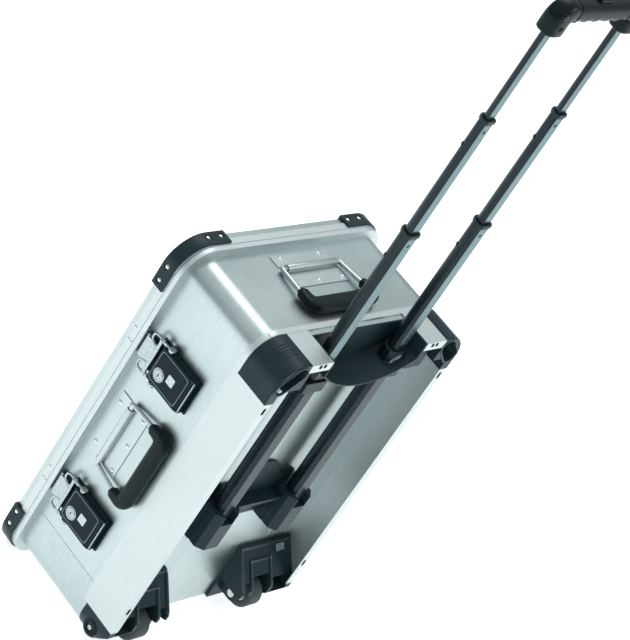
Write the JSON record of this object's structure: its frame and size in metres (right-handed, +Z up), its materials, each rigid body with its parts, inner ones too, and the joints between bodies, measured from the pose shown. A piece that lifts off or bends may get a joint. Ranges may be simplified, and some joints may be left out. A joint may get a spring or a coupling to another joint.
{
  "type": "hard shell trolley case",
  "caption": "Aluminium transport case with a hinged lid, folding carry handles, toggle latches, corner wheels and a telescoping twin tube pull handle.",
  "frame": {"origin": "middle of the footprint, on the floor plane under the feet and lid guards", "axes": "+Z up along the pull handle, +Y towards the tubes and wheels, -Y towards the lid, +X towards the latches"},
  "size_m": [0.4122, 0.2415, 1.181],
  "materials": {
    "alu_sheet": "brushed",
    "alu_profile": "satin anodised",
    "steel": "satin",
    "rivet_metal": "plain",
    "bright_metal": "polished",
    "black_metal": "black, semi-gloss",
    "black_plastic": "moulded, fine texture",
    "grip_plastic": "satin",
    "rubber": "dull"
  },
  "bodies": {
    "case": {"body_shell": "alu_sheet", "body_rim": "alu_profile", "body_hinge_leaves": "steel", "hinge_pins": "steel", "latch_bases": "black_metal", "latch_pivot_pins": "steel", "side_handle_plate": "alu_sheet", "top_handle_plate": "alu_sheet", "body_rivets": "rivet_metal", "side_rails": "alu_profile", "end_rails": "alu_profile", "corner_blocks": "black_plastic", "block_screws": "steel", "handle_cup": "black_plastic", "tube_clamps": "black_plastic", "lower_bracket": "black_plastic", "fixed_tubes": "black_metal", "fixed_collars": "black_plastic", "wheel_housing_left": "black_plastic", "wheel_housing_right": "black_plastic", "axles": "steel", "housing_clips": "steel", "rear_feet": "rubber"},
    "lid": {"lid_shell": "alu_sheet", "lid_rim": "alu_profile", "lid_seal": "rubber", "lid_corner_guards": "black_plastic", "lid_rivets": "rivet_metal", "lid_hinge_leaves": "steel", "latch_keepers": "steel"},
    "lever_upper": {"latch_lever_upper": "black_metal"},
    "lever_lower": {"latch_lever_lower": "black_metal"},
    "bail_upper": {"latch_bail_upper": "bright_metal"},
    "bail_lower": {"latch_bail_lower": "bright_metal"},
    "key_upper": {"key_cylinder_upper": "bright_metal"},
    "key_lower": {"key_cylinder_lower": "bright_metal"},
    "side_handle": {"side_handle_rod": "steel", "side_handle_grip": "grip_plastic"},
    "top_handle": {"top_handle_rod": "steel", "top_handle_grip": "grip_plastic"},
    "stage_a": {"stage_a_tubes": "black_metal", "stage_a_collars": "black_plastic", "stage_a_plugs": "black_plastic"},
    "stage_b": {"stage_b_tubes": "black_metal", "stage_b_collars": "black_plastic", "stage_b_plugs": "black_plastic"},
    "stage_c": {"stage_c_tubes": "black_metal", "stage_c_plugs": "black_plastic", "grip_front_shell": "grip_plastic", "grip_rear_shell": "grip_plastic", "grip_screws": "steel", "button_spring": "steel"},
    "button": {"grip_button": "grip_plastic"},
    "wheel_left": {"tyre_left": "rubber", "hub_left": "black_plastic"},
    "wheel_right": {"tyre_right": "rubber", "hub_right": "black_plastic"}
  },
  "joints": [
    {"name": "lid_hinge", "type": "hinge", "parent": "case", "child": "lid", "pos_m": [-0.20215, -0.09655, 0.303], "axis": [0, 0, -1], "range_deg": [0, 100]},
    {"name": "lever_upper_swing", "type": "hinge", "parent": "case", "child": "lever_upper", "pos_m": [0.19735, -0.04375, 0.441], "axis": [0, 0, -1], "range_deg": [0, 90]},
    {"name": "bail_upper_swing", "type": "hinge", "parent": "lever_upper", "child": "bail_upper", "pos_m": [0.19935, -0.03775, 0.441], "axis": [0, 0, -1], "range_deg": [-104, 0]},
    {"name": "key_upper_turn", "type": "hinge", "parent": "lever_upper", "child": "key_upper", "pos_m": [0.20065, -0.03275, 0.4325], "axis": [1, 0, 0], "range_deg": [0, 90]},
    {"name": "lever_lower_swing", "type": "hinge", "parent": "case", "child": "lever_lower", "pos_m": [0.19735, -0.04375, 0.165], "axis": [0, 0, -1], "range_deg": [0, 90]},
    {"name": "bail_lower_swing", "type": "hinge", "parent": "lever_lower", "child": "bail_lower", "pos_m": [0.19935, -0.03775, 0.165], "axis": [0, 0, -1], "range_deg": [-104, 0]},
    {"name": "key_lower_turn", "type": "hinge", "parent": "lever_lower", "child": "key_lower", "pos_m": [0.20065, -0.03275, 0.1565], "axis": [1, 0, 0], "range_deg": [0, 90]},
    {"name": "side_handle_fold", "type": "hinge", "parent": "case", "child": "side_handle", "pos_m": [0.19435, -0.04675, 0.303], "axis": [0, 0, -1], "range_deg": [0, 95]},
    {"name": "top_handle_fold", "type": "hinge", "parent": "case", "child": "top_handle", "pos_m": [0.00185, -0.04675, 0.5955], "axis": [1, 0, 0], "range_deg": [0, 95]},
    {"name": "stage_a_slide", "type": "slide", "parent": "case", "child": "stage_a", "axis": [0, 0, 1], "range_m": [-0.225, 0]},
    {"name": "stage_b_slide", "type": "slide", "parent": "stage_a", "child": "stage_b", "axis": [0, 0, 1], "range_m": [-0.183, 0]},
    {"name": "stage_c_slide", "type": "slide", "parent": "stage_b", "child": "stage_c", "axis": [0, 0, 1], "range_m": [-0.137, 0]},
    {"name": "button_press", "type": "slide", "parent": "stage_c", "child": "button", "axis": [0, 0, 1], "range_m": [-0.004, 0], "stiffness_N_per_m": 400, "springref_m": 0.004, "deforming": ["button_spring"]},
    {"name": "wheel_left_spin", "type": "hinge", "parent": "case", "child": "wheel_left", "pos_m": [-0.11615, 0.09575, 0.0452], "axis": [1, 0, 0], "continuous": true},
    {"name": "wheel_right_spin", "type": "hinge", "parent": "case", "child": "wheel_right", "pos_m": [0.11985, 0.09575, 0.0452], "axis": [1, 0, 0], "continuous": true}
  ],
  "couplings": [
    {"joint": "bail_upper_swing", "follows": "lever_upper_swing", "ratio": -1.15},
    {"joint": "bail_lower_swing", "follows": "lever_lower_swing", "ratio": -1.15}
  ]
}
